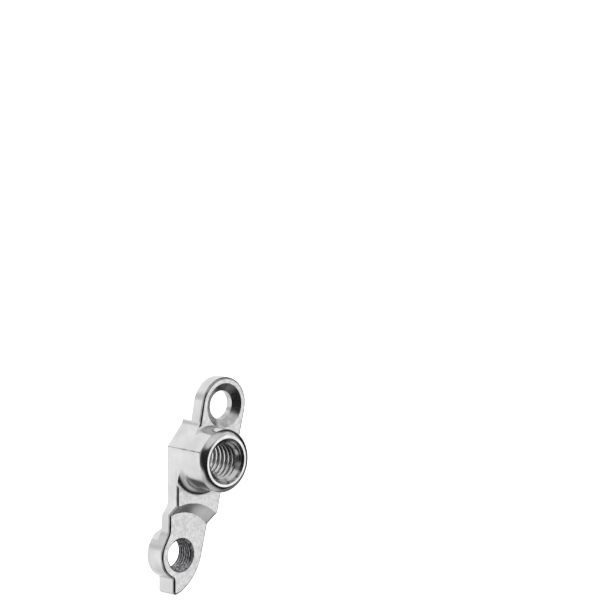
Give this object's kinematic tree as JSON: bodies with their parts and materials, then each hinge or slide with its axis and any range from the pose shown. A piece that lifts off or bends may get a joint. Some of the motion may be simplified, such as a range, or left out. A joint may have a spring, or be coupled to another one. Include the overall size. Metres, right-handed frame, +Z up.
{
  "type": "rear derailleur hanger",
  "caption": "Derailleur hanger for a thru-axle frame: threaded axle boss with a bolt ear above it, and a joggled arm down to a threaded lug with a stop tab.",
  "frame": {"origin": "on the axis of the axle thread, in the plane of the inboard seat that rests on the frame's dropout", "axes": "+X towards the front of the bicycle, +Y inboard towards the wheel along the axle, +Z up towards the bolt ear"},
  "size_m": [0.0268, 0.0215, 0.0647],
  "materials": {
    "hanger_aluminium": "tumbled satin, bare silver"
  },
  "bodies": {
    "root": {"hanger": "hanger_aluminium"}
  },
  "joints": []
}
